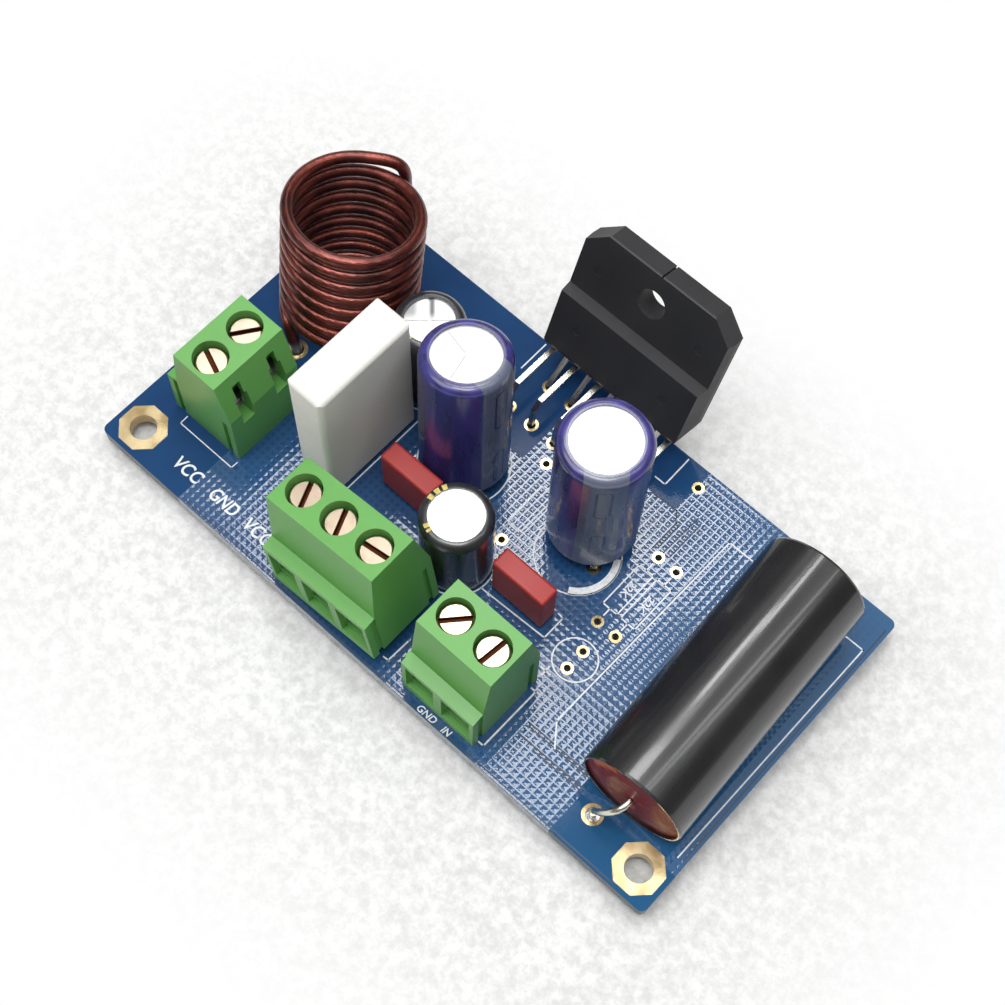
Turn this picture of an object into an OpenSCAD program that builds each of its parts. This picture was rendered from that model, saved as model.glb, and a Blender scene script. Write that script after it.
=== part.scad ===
// Audio amplifier board: a circuit board with terminal blocks, a coil, capacitors and a power chip.
// Origin midway between the two mounting holes on the board's underside.
// X runs along the long edge, Y towards the chip, Z up. Millimetres.

/* [Board] */
// Length of the board, left to right
board_l = 80; // [79.5:0.5:83]
// Width of the board, front to back
board_w = 42.5; // [42:0.25:44]
// Thickness of the board
board_t = 1.6; // [1.2:0.1:2.0]
// Radius of the board's corners
board_corner = 0.8; // [0.5:0.1:2.5]
// Distance of the mounting holes from the two nearest edges
hole_inset = 3.3; // [3.1:0.1:3.5]
// Diameter of the mounting holes
hole_d = 3.2; // [2.8:0.1:3.4]
// How far the legs stand out below the board
lead_below = 1.6; // [1.3:0.1:2.4]

/* [Terminal blocks] */
// Distance between poles
term_pitch = 5; // [5:0.02:5.08]
// Height of a block
term_h = 14.5; // [14.2:0.1:15.2]
// Depth of a block at its foot
term_d = 10.1; // [9.9:0.1:10.3]
// Twist of the three-pole block as it was soldered
term_twist = 0.6; // [0:0.1:1.0]
// Tilt of the three-pole block, which stands on its left foot
term_tilt = 7.4; // [0:0.1:8]
// Width of a wire entry
entry_w = 3.5; // [3.0:0.1:3.6]
// Height of a wire entry
entry_h = 3.6; // [3.2:0.1:3.8]
// Diameter of a screw's head
screw_head_d = 3.6; // [3.3:0.1:3.7]
// Diameter of a screw's shank
screw_d = 2.8; // [2.4:0.1:2.9]
// Width of a screw's slot
slot_w = 0.6; // [0.4:0.1:0.8]
// How far a clamp cage rises
cage_travel = 2.4; // [1.5:0.1:2.6]

/* [Coil] */
// Diameter of the coil's wire
wire_d = 1.45; // [1.4:0.05:1.6]
// Diameter of the coil across the middle of its wire
coil_d = 14.55; // [14:0.05:14.8]
// Rise of the wire per turn
coil_pitch = 1.98; // [1.9:0.01:2.1]
// Whole turns that are counted before the end is bent down
coil_turns = 8; // [6:1:9]
// How far the coil leans to the left
coil_left = 2.9; // [0:0.1:4]
// How far the coil leans to the back
coil_back = 10.7; // [4:0.1:11.5]

/* [Block resistor] */
// Thickness of the resistor
res_t = 4.85; // [4.5:0.05:5.0]
// Length of the resistor
res_l = 13.3; // [12.8:0.1:13.6]
// Height of the resistor's top above the board
res_h = 21.8; // [20:0.1:23]
// Rounding of its edges
res_round = 0.7; // [0.3:0.1:1.0]

/* [Electrolytic capacitors] */
// Diameter of the two tall capacitors
tall_d = 10.1; // [9.6:0.1:10.2]
// Length of the second tall capacitor, which stands straight
tall_l = 20.4; // [18:0.1:22]
// Length of the first tall capacitor, which leans
leaning_l = 18.4; // [16:0.1:20]
// How far the first tall capacitor leans back
tall_lean = 8.7; // [0:0.1:9.2]
// Diameter of the short capacitor
short_d = 8.1; // [7.6:0.1:8.2]
// Length of the short capacitor
short_l = 11.5; // [10:0.1:13]
// Diameter of the small capacitor at the back
small_d = 8.1; // [7.6:0.1:8.2]
// Length of the small capacitor at the back
small_l = 12.6; // [11:0.1:13.5]
// Thickness of a printed sleeve
sleeve_t = 0.22; // [0.15:0.01:0.3]

/* [Box capacitors] */
// Length of a box capacitor
box_l = 7.2; // [6.8:0.1:7.3]
// Thickness of a box capacitor
box_t = 2.5; // [2.2:0.1:2.8]
// Height of a box capacitor
box_h = 7; // [6:0.1:7.5]

/* [Film capacitor] */
// Diameter of the film capacitor
film_d = 12.4; // [11.6:0.1:12.6]
// Length of the film capacitor
film_l = 31.4; // [30.5:0.1:31.8]
// Twist of the film capacitor on the board
film_twist = 2.1; // [0:0.1:2.6]
// Thickness of its wrap
wrap_t = 0.3; // [0.2:0.05:0.5]

/* [Power chip] */
// Width of the chip
chip_w = 19.9; // [19.4:0.1:20.2]
// Height of the chip along its lean
chip_h = 17.4; // [16.8:0.1:18]
// Thickness of the chip's thick lower part
chip_t = 4.3; // [4.1:0.1:4.8]
// Thickness of the chip's upper tab
chip_tab_t = 2.75; // [2.3:0.05:2.9]
// Height of the thick lower part's front
chip_step = 8.2; // [7.6:0.1:8.8]
// Cut-off corners of the tab
chip_cut = 2.85; // [2.5:0.05:3.2]
// Diameter of the hole for the heat sink's screw
chip_hole_d = 3.6; // [3.2:0.1:4.0]
// How far the chip leans back
chip_lean = 18; // [15:0.5:20]
// Distance between neighbouring legs
chip_pitch = 1.7; // [1.68:0.01:1.72]

/* [Hidden] */
$fn = 48;
mid_x = board_l / 2;
mid_y = board_w / 2;
tip_z = -board_t - lead_below;
hole_gap = mid_x - hole_inset;
// along the board: the coil, the resistor and the small capacitor beside it, then the middle row
coil_x = 10.28;
coil_edge = coil_x + (coil_d + wire_d) / 2;
res_gap = 1.92;
res_x = coil_edge + res_gap;
small_gap = 0.27;
small_x = coil_edge + small_gap + small_d / 2;
row_gap = 8.3;
row_x = max(small_x + small_d / 2, res_x + res_t + 1.6) + tall_d / 2 + row_gap;
// terminal blocks: corner of each block at its front plate
t1_x = 3.9;
t1_y = mid_y - 13.35;
t2_x = row_x - 13.0;
t2_y = 0.6;
t3_x = row_x + 5.55;
t3_y = 1.2;
ledge_z = term_h / 2;
top_front = 2.5;
top_back = term_d - 1.5;
screw_y = (top_front + top_back) / 2;
cav_w = term_pitch - 1.1;
cav_y0 = 2.7;
cav_y1 = term_d - 1.9;
cav_z0 = 1.2;
cage_w = cav_w - 0.3;
cage_d = cav_y1 - cav_y0 - 1.3;
cage_t = 0.6;
cage_z = cav_z0 + 0.2;
tongue_z = cage_z + cage_t + entry_h;
tongue_t = 0.55;
cage_h = entry_h + 2 * cage_t + tongue_t + 0.15;
cav_z1 = cage_z + cage_h + cage_travel + 0.3;
head_z = max(cav_z1 + 1.4, term_h - 2.65);
head_h = min(1.6, term_h - head_z - 0.8);
head_bore = screw_head_d + 0.4;
run_gap = 0.15;
pin_y = cav_y1 - 0.32;
pin_d = 1.0;
slot_turn = [145, 69, 113, 113, 5, 48, 83];
window_w = 1.7;
window_z0 = ledge_z - 0.85;
window_z1 = term_h - 3.5;
notch_w = 1.1;
notch_z1 = term_h - 1.6;
// coil
coil_y = mid_y + 8.03;
coil_r = coil_d / 2;
coil_a0 = 230;
coil_a1 = 130;
coil_z0 = wire_d / 2 + coil_r * sin(coil_back) + 0.6;
coil_sweep = 360 * coil_turns + coil_a0 - coil_a1;
coil_rise = coil_pitch * coil_sweep / 360;
coil_sides = 12;
coil_steps = 36;
// other parts
res_y = mid_y - 9.65;
box_gap = 0.49;
box1 = [row_x - 8.8, mid_y - 3.35];
cap1 = [row_x - 7.46, box1[1] + box_t / 2 + box_gap + tall_d / 2];
lean_way = 128.8;
vents_1 = [165, 45, 285];
cap2 = [row_x + 8.46, mid_y + 6.8];
cap2_pad = [row_x + 9.1, mid_y + 3.75];
cap3 = [row_x - 0.1, mid_y - 5.65];
back_gap = 0.98;
cap4 = [small_x, res_y + res_l + back_gap + small_d / 2];
tall_z1 = 1.8;
tall_z2 = 2.5;
short_z = 0.5;
small_z = 0.6;
box2 = [row_x + 8.4, mid_y - 4.3];
film_x = board_l - 8.5;
film_y = mid_y + 0.95;
film_z = film_d / 2 + 0.15;
film_pad_front = [-2.6, -film_l / 2 - 2.12];
film_pad_back = [0, film_l / 2 + 1.6];
chip_x = row_x;
chip_y = board_w - 2.55;
chip_z = 5.25;
row_front = chip_y - 6.65;
row_back = chip_y - 1.65;
leg_w = 0.62;
leg_t = 0.5;
leg_d = 0.6;
lead_gap = 0.24;

// moves children from the board's front left top corner to the part's frame
module on_board() {
  translate([-mid_x, -hole_inset, board_t]) children();
}

// flat rectangle with round corners
module round_rect(l, w, r) {
  translate([r, 0]) square([l - 2 * r, w]);
  translate([0, r]) square([l, w - 2 * r]);
  translate([r, r]) circle(r);
  translate([l - r, r]) circle(r);
  translate([r, w - r]) circle(r);
  translate([l - r, w - r]) circle(r);
}

// block with its edges rounded
module round_block(l, w, h, r) {
  intersection() {
    linear_extrude(h) round_rect(l, w, r);
    translate([0, w, 0]) rotate([90, 0, 0]) linear_extrude(w) round_rect(l, h, r);
    rotate([90, 0, 90]) linear_extrude(l) round_rect(w, h, r);
  }
}

// places children at a terminal block's front left foot, poles along X, wire entries to -Y
module at_block(b) {
  if (b == 1) translate([t1_x, t1_y + 2 * term_pitch, 0]) rotate([0, 0, -90]) children();
  if (b == 2) translate([t2_x, t2_y, 0]) rotate([0, 0, term_twist]) rotate([0, -term_tilt, 0]) children();
  if (b == 3) translate([t3_x, t3_y, 0]) children();
}

// places children at the middle of one pole of a block
module at_pole(b, i) {
  at_block(b) translate([(i + 0.5) * term_pitch, 0, 0]) children();
}

// places children at pole number k of all seven
module at_number(k) {
  if (k <= 2) at_pole(1, k - 1) children();
  if (k > 2 && k <= 5) at_pole(2, k - 3) children();
  if (k > 5) at_pole(3, k - 6) children();
}

// level in the block's own frame at which the pin of pole k reaches a level z of the board
function tilted(k) = k > 2 && k <= 5;
function along_block(k) = (k - 2.5) * term_pitch;
function pin_level(k, z) = tilted(k) ? (z - along_block(k) * sin(term_tilt)) / cos(term_tilt) : z;

// places children upright where the pin of pole k crosses a level z of the board
module at_pin(k, z) {
  if (tilted(k)) {
    x = along_block(k) * cos(term_tilt) - pin_level(k, z) * sin(term_tilt);
    translate([t2_x, t2_y, 0]) rotate([0, 0, term_twist]) translate([x, pin_y, 0]) children();
  }
  if (!tilted(k)) at_number(k) translate([0, pin_y, 0]) children();
}

// places children at both legs of an upright capacitor
module at_legs(p, gap) {
  translate([p[0] - gap / 2, p[1], 0]) children();
  translate([p[0] + gap / 2, p[1], 0]) children();
}

// places children in the film capacitor's own frame, its axis along Y
module at_film() {
  translate([film_x, film_y, 0]) rotate([0, 0, film_twist]) children();
}

// places children at every leg that goes through the board, by size of leg
module at_thin_legs() {
  at_legs(cap1, 5) children();
  at_legs(cap2_pad, 5) children();
  at_legs(cap3, 3.5) children();
  at_legs(cap4, 3.5) children();
  at_legs(box1, 5) children();
  at_legs(box2, 5) children();
}

module at_film_legs() {
  at_film() translate([film_pad_front[0], film_pad_front[1], 0]) children();
  at_film() translate([film_pad_back[0], film_pad_back[1], 0]) children();
}

module at_resistor_legs() {
  translate([res_x + res_t / 2, res_y + res_l / 2 - 2.5, 0]) children();
  translate([res_x + res_t / 2, res_y + res_l / 2 + 2.5, 0]) children();
}

module at_chip_legs() {
  for (i = [0 : 5]) translate([chip_x + (2 * i - 5) * chip_pitch, row_front, 0]) children();
  for (i = [0 : 4]) translate([chip_x + (2 * i - 4) * chip_pitch, row_back, 0]) children();
}

module at_coil_legs() {
  translate([coil_x, coil_y, 0]) translate(coil_foot) children();
  translate([coil_x, coil_y, 0]) translate(coil_head) children();
}

// empty footprints seen in the photo
module at_empty() {
  translate([row_x + 17.1, mid_y - 6.85, 0]) children();
  translate([row_x + 17.1, mid_y - 4.31, 0]) children();
  translate([row_x + 16.0, mid_y - 0.68, 0]) children();
  translate([row_x + 16.0, mid_y + 9.48, 0]) children();
  translate([row_x + 18.54, mid_y - 0.68, 0]) children();
  translate([row_x + 18.54, mid_y + 9.48, 0]) children();
  translate([row_x + 1.95, mid_y - 0.65, 0]) children();
  translate([row_x - 0.6, mid_y + 9.55, 0]) children();
  translate([row_x + 13.8, board_w - 2.35, 0]) children();
}

// a drill through the board
module drill(d) {
  translate([0, 0, -board_t - 1]) cylinder(h = board_t + 2, d = d, $fn = 24);
}

// the bare board with every hole
module board() {
  color([0.06, 0.17, 0.36]) on_board() difference() {
    translate([0, 0, -board_t]) linear_extrude(board_t) round_rect(board_l, board_w, board_corner);
    translate([hole_inset, hole_inset, 0]) drill(hole_d, $fn = 48);
    translate([board_l - hole_inset, hole_inset, 0]) drill(hole_d, $fn = 48);
    for (k = [1 : 7]) at_pin(k, -board_t / 2) drill(pin_d + 0.3);
    at_thin_legs() drill(leg_d + lead_gap);
    at_film_legs() drill(1.6);
    at_resistor_legs() drill(0.8 + 2 * lead_gap);
    at_chip_legs() drill(0.8 + lead_gap);
    at_coil_legs() drill(wire_d + 0.3);
    at_empty() drill(0.8);
  }
}

// one terminal housing with n poles
module housing(b, n) {
  l = n * term_pitch;
  color([0.24, 0.55, 0.22]) on_board() at_block(b) difference() {
    union() {
      rotate([90, 0, 90]) linear_extrude(l) polygon([
        [0, 0.02], [0, ledge_z], [top_front - 1.0, ledge_z + 0.35], [top_front, term_h],
        [top_back, term_h], [term_d, term_h - 6], [term_d, 0.02]
      ]);
      for (y = [0.9, term_d - 1.5]) {
        translate([-0.3, y, 0.4]) cube([0.6, 0.6, ledge_z - 0.6]);
      }
    }
    for (y = [0.85, term_d - 1.55]) {
      translate([l - 0.35, y, -1]) cube([1, 0.7, ledge_z + 1]);
    }
    for (i = [0 : n - 1]) translate([(i + 0.5) * term_pitch, 0, 0]) {
      translate([-cav_w / 2, -1, cage_z - 0.1]) cube([cav_w, 1.7, entry_h + 1.6]);
      translate([-entry_w / 2, -1, cage_z + cage_t]) cube([entry_w, 4, entry_h]);
      translate([-cav_w / 2, cav_y0, cav_z0]) cube([cav_w, cav_y1 - cav_y0, cav_z1 - cav_z0]);
      translate([-window_w / 2, cav_y1 - 0.5, window_z0]) cube([window_w, 4, window_z1 - window_z0]);
      translate([-notch_w / 2, cav_y1, window_z1 - 0.1]) cube([notch_w, 4, notch_z1 - window_z1 + 0.1]);
      translate([0, screw_y, head_z]) cylinder(h = 10, d = head_bore);
      translate([0, screw_y, cav_z1 - 1]) cylinder(h = head_z - cav_z1 + 2, d = screw_d + run_gap);
      translate([0, pin_y, -1]) cylinder(h = cav_z0 + 2, d = pin_d + 0.2, $fn = 24);
    }
  }
}

// one terminal screw with its slot
module screw(k) {
  color([0.86, 0.74, 0.58]) on_board() at_number(k) translate([0, screw_y, 0]) difference() {
    union() {
      translate([0, 0, head_z + 0.05]) cylinder(h = head_h - 0.2, d = screw_head_d);
      translate([0, 0, head_z + head_h - 0.15])
        cylinder(h = 0.2, d1 = screw_head_d, d2 = screw_head_d - 0.4);
      translate([0, 0, tongue_z + tongue_t + 0.2])
        cylinder(h = head_z - tongue_z - tongue_t, d = screw_d);
    }
    translate([0, 0, head_z + head_h - 0.75])
      rotate([0, 0, slot_turn[k - 1]])
        translate([-5, -slot_w / 2, 0]) cube([10, slot_w, 2]);
  }
}

// one clamp cage: a square loop with a threaded top
module cage(k) {
  color([0.7, 0.7, 0.68]) on_board() at_number(k) translate([0, screw_y, cage_z]) difference() {
    translate([-cage_w / 2, -cage_d / 2, 0]) cube([cage_w, cage_d, cage_h]);
    translate([-cage_w / 2 + cage_t, -5, cage_t]) cube([cage_w - 2 * cage_t, 10, cage_h - 2 * cage_t]);
    translate([0, 0, cage_h - cage_t - cage_travel - 0.15]) cylinder(h = 6, d = screw_d + run_gap);
  }
}

// one contact: a tongue through the cage, a strap down and a round pin
module contact(k) {
  strap = 0.4;
  tip = pin_level(k, tip_z) + (tilted(k) ? 0.1 : 0);
  color([0.78, 0.77, 0.74]) on_board() at_number(k) union() {
    translate([-1, cav_y0 + 0.5, tongue_z]) cube([2, cav_y1 - cav_y0 - 0.55, tongue_t]);
    translate([-1, cav_y1 - 0.05 - strap, cav_z0 + 0.05]) cube([2, strap, tongue_z - cav_z0]);
    translate([0, pin_y, tip]) cylinder(h = cav_z0 + 0.15 - tip, d = pin_d, $fn = 24);
  }
}

// coil: a single swept wire, leg up, round the turns, leg down
function unit(v) = v / norm(v);
function bez(a, b, c, d, t) =
  pow(1 - t, 3) * a + 3 * t * pow(1 - t, 2) * b + 3 * t * t * (1 - t) * c + pow(t, 3) * d;

coil_axis = unit([-tan(coil_left), tan(coil_back), 1]);
coil_across = unit([1, 0, 0] - coil_axis[0] * coil_axis);
coil_deep = cross(coil_axis, coil_across);
function ring_at(a) = cos(a) * coil_across + sin(a) * coil_deep;
function turn_at(s) =
  [0, 0, coil_z0] + coil_rise * s * coil_axis + coil_r * ring_at(coil_a0 - coil_sweep * s);

coil_foot = (coil_r + 0.08) * [cos(257.6), sin(257.6), 0];
coil_head = coil_rise * [coil_axis[0], coil_axis[1], 0]
  + (coil_r + wire_d * 0.8) * [cos(94.5), sin(94.5), 0];
coil_bend = [0, 0, turn_at(1)[2] - 0.3];
coil_count = ceil(coil_sweep / 360 * coil_steps);
coil_low = [for (i = [0 : 11])
  bez(coil_foot + [0, 0, -0.2], coil_foot + [0, 0, 1.6], turn_at(0) + ring_at(coil_a0 + 90) * 2.4,
      turn_at(0), i / 12)];
coil_high = [for (i = [1 : 16])
  bez(turn_at(1), turn_at(1) + ring_at(coil_a1 - 90) * 4, coil_head + coil_bend,
      coil_head + coil_bend - [0, 0, 3], i / 16)];
coil_path = concat(
  [coil_foot + [0, 0, tip_z]],
  coil_low,
  [for (i = [0 : coil_count]) turn_at(i / coil_count)],
  coil_high,
  [coil_head + [0, 0, tip_z]]
);
function side(n, t) = unit(n - (n * t) * t);

// round wire of n sides swept along a path, its sections turning as little as they can
module swept_wire(path, d, n, first) {
  last = len(path) - 1;
  dir = [for (i = [0 : last]) unit(path[min(i + 1, last)] - path[max(i - 1, 0)])];
  across = [for (i = 0, v = side(first, dir[0]); i <= last;
    i = i + 1, v = side(v, dir[min(i, last)])) v];
  pts = [for (i = [0 : last]) for (j = [0 : n - 1])
    path[i] + d / 2 * (cos(360 * j / n) * across[i] + sin(360 * j / n) * cross(dir[i], across[i]))];
  skin = [for (i = [0 : last - 1]) for (j = [0 : n - 1])
    [i * n + j, (i + 1) * n + j, (i + 1) * n + (j + 1) % n, i * n + (j + 1) % n]];
  ends = [[for (j = [0 : n - 1]) j], [for (j = [n - 1 : -1 : 0]) last * n + j]];
  polyhedron(points = pts, faces = concat(skin, ends), convexity = 12);
}

module coil() {
  color([0.42, 0.13, 0.09]) on_board() translate([coil_x, coil_y, 0])
    swept_wire(coil_path, wire_d, coil_sides, [1, 0, 0]);
}

module resistor_case() {
  color([0.9, 0.89, 0.84]) on_board() translate([res_x, res_y, 0.3])
    round_block(res_t, res_l, res_h - 0.3, res_round);
}

module resistor_legs() {
  color([0.75, 0.74, 0.7]) on_board() for (s = [-2.5, 2.5]) {
    translate([res_x + res_t / 2, res_y + res_l / 2 + s, tip_z])
      cylinder(h = 0.28 - tip_z, d = 0.8, $fn = 24);
  }
}

// places children on a capacitor's foot, leaning to the back left
module standing(p, z, lean) {
  translate([p[0], p[1], z])
    rotate([0, 0, lean_way]) rotate([0, lean, 0]) rotate([0, 0, -lean_way]) children();
}

// half outline of an upright can with a rounded shoulder
module can_outline(r, l, f) {
  square([r - f, l]);
  square([r, l - f]);
  translate([r - f, l - f]) circle(f);
}

// can of an electrolytic capacitor with its vent scores and the recess for the bung
module can(p, d, l, z, score, turns, lean) {
  r = d / 2 - sleeve_t - 0.02;
  top = l - sleeve_t - 0.02;
  color([0.9, 0.9, 0.9]) on_board() standing(p, z, lean) difference() {
    rotate_extrude() intersection() {
      can_outline(r, top, 0.8);
      square([d, l]);
    }
    translate([0, 0, -1]) cylinder(h = 3, r = r - 0.35);
    for (a = turns) {
      rotate([0, 0, a]) translate([-0.02, -score / 2, top - 0.12]) cube([d * 0.36, score, 1]);
    }
  }
}

// printed sleeve that folds over the can's shoulder
module sleeve(p, d, l, z, fold, tint, lean) {
  r = d / 2;
  color(tint) on_board() standing(p, z, lean) rotate_extrude() intersection() {
    difference() {
      can_outline(r, l, 1.02);
      can_outline(r - sleeve_t, l - sleeve_t, 0.8);
      square([r - fold, l * 2]);
    }
    square([d, l * 2]);
  }
}

// rubber bung in the can's mouth
module bung(p, d, z, gap, lean) {
  color([0.12, 0.12, 0.12]) on_board() difference() {
    standing(p, z, lean) translate([0, 0, 0.1]) cylinder(h = 1.85, r = d / 2 - sleeve_t - 0.4);
    at_legs(p, gap) translate([0, 0, z - 1]) cylinder(h = 2.2, d = leg_d + 0.06, $fn = 24);
  }
}

// straight legs of an upright capacitor
module can_legs(p, z, gap) {
  color([0.78, 0.77, 0.74]) on_board() at_legs(p, gap) translate([0, 0, tip_z])
    cylinder(h = z + 1.15 - tip_z, d = leg_d, $fn = 24);
}

// legs of the second tall capacitor, bent because it stands behind its footprint
module bent_legs() {
  color([0.78, 0.77, 0.74]) on_board() for (s = [-2.5, 2.5]) {
    foot = [cap2_pad[0] + s, cap2_pad[1], 0.1];
    head = [cap2[0] + s, cap2[1], tall_z2 - 0.2];
    swept_wire(concat(
      [[foot[0], foot[1], tip_z]],
      [for (i = [0 : 8]) bez(foot, foot + [0, 0, 1.0], head - [0, 0, 1.0], head, i / 8)],
      [[head[0], head[1], tall_z2 + 1.15]]
    ), leg_d, 14, [1, 0, 0]);
  }
}

module box_cap(p) {
  color([0.62, 0.16, 0.15]) on_board() translate([p[0] - box_l / 2, p[1] - box_t / 2, 0.2])
    round_block(box_l, box_t, box_h - 0.2, 0.35);
}

module box_legs(p) {
  color([0.75, 0.74, 0.7]) on_board() at_legs(p, 5) translate([0, 0, tip_z])
    cylinder(h = 0.18 - tip_z, d = leg_d, $fn = 24);
}

// film capacitor: end fill and winding as one core, slightly domed ends
module film_core() {
  r = film_d / 2 - wrap_t - 0.02;
  color([0.36, 0.07, 0.08]) on_board() at_film() translate([0, -film_l / 2, film_z])
    rotate([-90, 0, 0]) rotate_extrude() polygon([
      [0, 0.02], [r * 0.6, 0.08], [r, 0.35], [r, film_l - 0.35], [r * 0.6, film_l - 0.08], [0, film_l - 0.02]
    ]);
}

module film_wrap() {
  r = film_d / 2;
  color([0.09, 0.09, 0.1]) on_board() at_film() translate([0, -film_l / 2, film_z])
    rotate([-90, 0, 0]) rotate_extrude() polygon([
      [r - wrap_t, 0.05], [r - 0.12, 0.05], [r, 0.3], [r, film_l - 0.3], [r - 0.12, film_l - 0.05],
      [r - wrap_t, film_l - 0.05]
    ]);
}

// legs leave the film capacitor's ends and bend down to the board, the front one sideways as well
module film_legs() {
  e = film_l / 2;
  f = [film_pad_front[0], film_pad_front[1], 0];
  g = [film_pad_back[0], film_pad_back[1], 0];
  up = [0, 0, film_z];
  front = concat(
    [[0, -e, film_z]],
    [for (i = [0 : 12])
      bez([0, -e - 0.3, film_z], [0, -e - 2.6, film_z], f + [0, -0.4, 3.4], f + [0, 0, 1.0], i / 12)],
    [f + [0, 0, tip_z]]
  );
  back = concat(
    [[0, e, film_z]],
    [for (i = [0 : 8]) bez([0, e + 0.3, film_z], g + up, g + up, g + up * 0.75, i / 8)],
    [g + [0, 0, tip_z]]
  );
  color([0.82, 0.8, 0.74]) on_board() at_film() {
    swept_wire(front, 0.8, 14, [1, 0, 0]);
    swept_wire(back, 0.8, 14, [1, 0, 0]);
  }
}

// places children in the leaning chip's frame: front foot edge, X across, Y through, Z up the lean
module at_chip() {
  translate([chip_x, chip_y, chip_z]) rotate([-chip_lean, 0, 0]) children();
}

// moulded body: stepped side outline crossed with the cornered front outline
module chip_body() {
  step = chip_t - chip_tab_t;
  w = chip_w / 2;
  mid = chip_t - 1.2;
  cut = chip_cut * 0.9;
  cut_top = chip_cut * 1.08;
  hole_z = chip_step + 0.5 * (chip_h - chip_step) + 0.45;
  color([0.1, 0.1, 0.105]) on_board() at_chip() difference() {
    intersection() {
      rotate([90, 0, 90]) translate([0, 0, -w - 1]) linear_extrude(chip_w + 2) polygon([
        [0.15, 0], [0, 0.4], [0, chip_step], [step, chip_step + 0.3], [step, chip_h - 0.15],
        [step + 0.15, chip_h], [chip_t, chip_h - 0.1], [chip_t, 0.1], [mid, 0]
      ]);
      translate([0, chip_t + 1, 0]) rotate([90, 0, 0]) linear_extrude(chip_t + 2) polygon([
        [-w + 0.5, -1], [w - 0.5, -1], [w - 0.5, 0], [w, 1.4], [w, chip_h - cut],
        [w - cut_top, chip_h + 0.2], [-w + cut_top, chip_h + 0.2], [-w, chip_h - cut],
        [-w, 1.4], [-w + 0.5, 0]
      ]);
      translate([0, 0, -1]) linear_extrude(chip_h + 3) polygon([
        [-w + 0.35, -1], [w - 0.35, -1], [w - 0.35, 0], [w, mid], [w - 0.15, chip_t + 1],
        [-w + 0.15, chip_t + 1], [-w, mid], [-w + 0.35, 0]
      ]);
    }
    translate([0, -1, hole_z]) rotate([-90, 0, 0]) cylinder(h = chip_t + 2, d = chip_hole_d);
    translate([-0.1, step - 0.1, chip_h - 0.45]) cube([0.2, chip_t, 1]);
    for (x = [-0.62, 0.62]) {
      translate([x * w, -0.1, chip_step * 0.55]) rotate([-90, 0, 0]) cylinder(h = 0.18, d = 1.1, $fn = 24);
    }
    for (x = [-0.7, 0.7]) {
      translate([x * w, step - 0.1, chip_h * 0.7]) rotate([-90, 0, 0]) cylinder(h = 0.18, d = 1.1, $fn = 24);
    }
  }
}

// flat strip along a line of points, drawn in the YZ plane
module strip(pts, t) {
  for (i = [0 : len(pts) - 2]) {
    v = pts[i + 1] - pts[i];
    translate(pts[i]) rotate(atan2(v[1], v[0])) translate([0, -t / 2]) square([norm(v), t]);
  }
  for (i = [1 : len(pts) - 2]) translate(pts[i]) circle(d = t, $fn = 24);
}

// legs leave the chip's foot, the front row runs forward first
module chip_legs() {
  s = sin(chip_lean);
  c = cos(chip_lean);
  out = [chip_y + 2.3 * c - 0.03 * s, chip_z - 2.3 * s - 0.03 * c];
  low = out - 0.9 * [s, c];
  color([0.8, 0.78, 0.7]) on_board() {
    for (i = [0 : 5]) {
      translate([chip_x + (2 * i - 5) * chip_pitch - leg_w / 2, 0, 0])
        rotate([90, 0, 90]) linear_extrude(leg_w) strip([
          out, low, [row_front + 1.3, low[1] + 0.25], [row_front + 0.35, low[1] - 0.6],
          [row_front, 0.9], [row_front, tip_z]
        ], leg_t);
    }
    for (i = [0 : 4]) {
      translate([chip_x + (2 * i - 4) * chip_pitch - leg_w / 2, 0, 0])
        rotate([90, 0, 90]) linear_extrude(leg_w) strip([
          out, low, [row_back + 0.4, 1.2], [row_back, 0.5], [row_back, tip_z]
        ], leg_t);
    }
  }
}

// one solder cone below the board around a leg
module cone(leg_gap, foot) {
  difference() {
    translate([0, 0, -board_t - 1.0]) cylinder(h = 0.98, d1 = leg_gap + 0.35, d2 = foot, $fn = 24);
    translate([0, 0, -board_t - 2]) cylinder(h = 3, d = leg_gap, $fn = 24);
  }
}

module solder() {
  color([0.7, 0.71, 0.72]) on_board() {
    for (k = [1 : 7]) at_pin(k, -board_t - 0.5) cone(pin_d + (tilted(k) ? 0.3 : 0.06), 2.2);
    at_thin_legs() cone(leg_d + 0.06, 1.5);
    at_film_legs() cone(0.86, 2.4);
    at_resistor_legs() cone(0.86, 2.0);
    at_chip_legs() cone(0.86, 1.4);
    at_coil_legs() cone(wire_d + 0.06, 3);
  }
}

blue = [0.13, 0.14, 0.42];
black = [0.1, 0.1, 0.11];

board();
housing(1, 2);  // housing_a
housing(2, 3);  // housing_b
housing(3, 2);  // housing_c
screw(1);  // screw_1
screw(2);  // screw_2
screw(3);  // screw_3
screw(4);  // screw_4
screw(5);  // screw_5
screw(6);  // screw_6
screw(7);  // screw_7
cage(1);  // cage_1
cage(2);  // cage_2
cage(3);  // cage_3
cage(4);  // cage_4
cage(5);  // cage_5
cage(6);  // cage_6
cage(7);  // cage_7
contact(1);  // pin_1
contact(2);  // pin_2
contact(3);  // pin_3
contact(4);  // pin_4
contact(5);  // pin_5
contact(6);  // pin_6
contact(7);  // pin_7
coil();
resistor_case();
resistor_legs();
can(cap1, tall_d, leaning_l, tall_z1, 0.12, vents_1, tall_lean);  // tall_can_1
sleeve(cap1, tall_d, leaning_l, tall_z1, 1.25, blue, tall_lean);  // tall_sleeve_1
bung(cap1, tall_d, tall_z1, 5, tall_lean);  // tall_bung_1
can_legs(cap1, tall_z1, 5);  // tall_legs_1
can(cap2, tall_d, tall_l, tall_z2, 0.12, [200, 80, 320], 0);  // tall_can_2
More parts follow.
